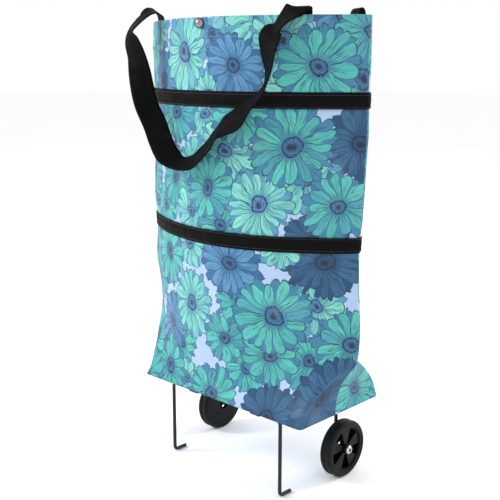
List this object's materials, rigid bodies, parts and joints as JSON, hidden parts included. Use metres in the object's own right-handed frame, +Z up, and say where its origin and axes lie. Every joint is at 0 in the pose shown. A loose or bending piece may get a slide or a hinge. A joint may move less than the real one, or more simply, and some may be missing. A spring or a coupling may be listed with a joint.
{
  "type": "folding shopping trolley",
  "caption": "Folding shopping trolley: a printed cloth bag whose tiers are joined by zips right round, webbing handles, a folding wheel frame and wire stand.",
  "frame": {"origin": "on the ground under the middle of the bag", "axes": "+Z up, +Y to the back where the wheels are, +X to the right seen from the front"},
  "size_m": [0.3912, 0.2144, 0.6292],
  "materials": {
    "print_cloth": "coated cloth printed all over with large daisies in mint, teal and steel blue, slight sheen",
    "base_cloth": "plain dark coated cloth",
    "board": "stiff board",
    "zip_tape": "woven black tape",
    "zip_teeth": "nylon coil",
    "slider_metal": "black painted metal",
    "webbing": "black ribbed webbing",
    "snap_metal": "polished metal",
    "clip_plastic": "moulded plastic",
    "rivet_metal": "satin",
    "frame_wire": "black powder coat",
    "hub_plastic": "moulded black plastic",
    "tyre_rubber": "smooth black rubber",
    "nut_metal": "bright metal"
  },
  "bodies": {
    "bag_base": {"lower_tier": "print_cloth", "bottom_panel": "base_cloth", "base_board": "board", "lower_zip_tape": "zip_tape", "lower_zip_coil": "zip_teeth", "middle_tier": "print_cloth", "zip_slider": "slider_metal", "zip_end_box": "zip_teeth", "wheel_frame_clips": "clip_plastic", "stand_clips": "clip_plastic", "clip_rivets": "rivet_metal"},
    "bag_top": {"upper_tier": "print_cloth", "upper_zip_tape": "zip_tape", "upper_zip_coil": "zip_teeth", "front_handle_ends": "webbing", "back_handle_ends": "webbing", "snap_cap": "snap_metal", "snap_socket": "snap_metal", "snap_stud_cap": "snap_metal", "snap_stud": "snap_metal"},
    "front_handle": {"front_handle": "webbing"},
    "back_handle": {"back_handle": "webbing"},
    "zip_pull": {"zip_pull": "slider_metal"},
    "wheel_frame": {"wheel_frame_wire": "frame_wire", "left_push_nut": "nut_metal", "right_push_nut": "nut_metal"},
    "left_wheel": {"left_hub": "hub_plastic", "left_tyre": "tyre_rubber"},
    "right_wheel": {"right_hub": "hub_plastic", "right_tyre": "tyre_rubber"},
    "stand": {"stand_wire": "frame_wire"}
  },
  "joints": [
    {"name": "bag_collapse", "type": "slide", "parent": "bag_base", "child": "bag_top", "axis": [0, 0, 1], "range_m": [-0.158, 0], "deforming": ["middle_tier"]},
    {"name": "front_handle_swing", "type": "hinge", "parent": "bag_top", "child": "front_handle", "pos_m": [0, -0.0588, 0.626], "axis": [-1, 0, 0], "range_deg": [0, 180]},
    {"name": "back_handle_swing", "type": "hinge", "parent": "bag_top", "child": "back_handle", "pos_m": [0, 0.0588, 0.626], "axis": [1, 0, 0], "range_deg": [0, 180]},
    {"name": "zip_pull_swing", "type": "hinge", "parent": "bag_base", "child": "zip_pull", "pos_m": [0, 0.10186, 0.346], "axis": [1, 0, 0], "range_deg": [0, 150]},
    {"name": "wheel_frame_fold", "type": "hinge", "parent": "bag_base", "child": "wheel_frame", "pos_m": [0.011, 0.043, 0.108], "axis": [-1, 0, 0], "range_deg": [0, 55]},
    {"name": "stand_fold", "type": "hinge", "parent": "bag_base", "child": "stand", "pos_m": [0.011, -0.068, 0.108], "axis": [1, 0, 0], "range_deg": [0, 75]},
    {"name": "left_wheel_spin", "type": "hinge", "parent": "wheel_frame", "child": "left_wheel", "pos_m": [-0.11045, 0.043, 0.04], "axis": [1, 0, 0], "continuous": true},
    {"name": "right_wheel_spin", "type": "hinge", "parent": "wheel_frame", "child": "right_wheel", "pos_m": [0.13245, 0.043, 0.04], "axis": [1, 0, 0], "continuous": true}
  ]
}
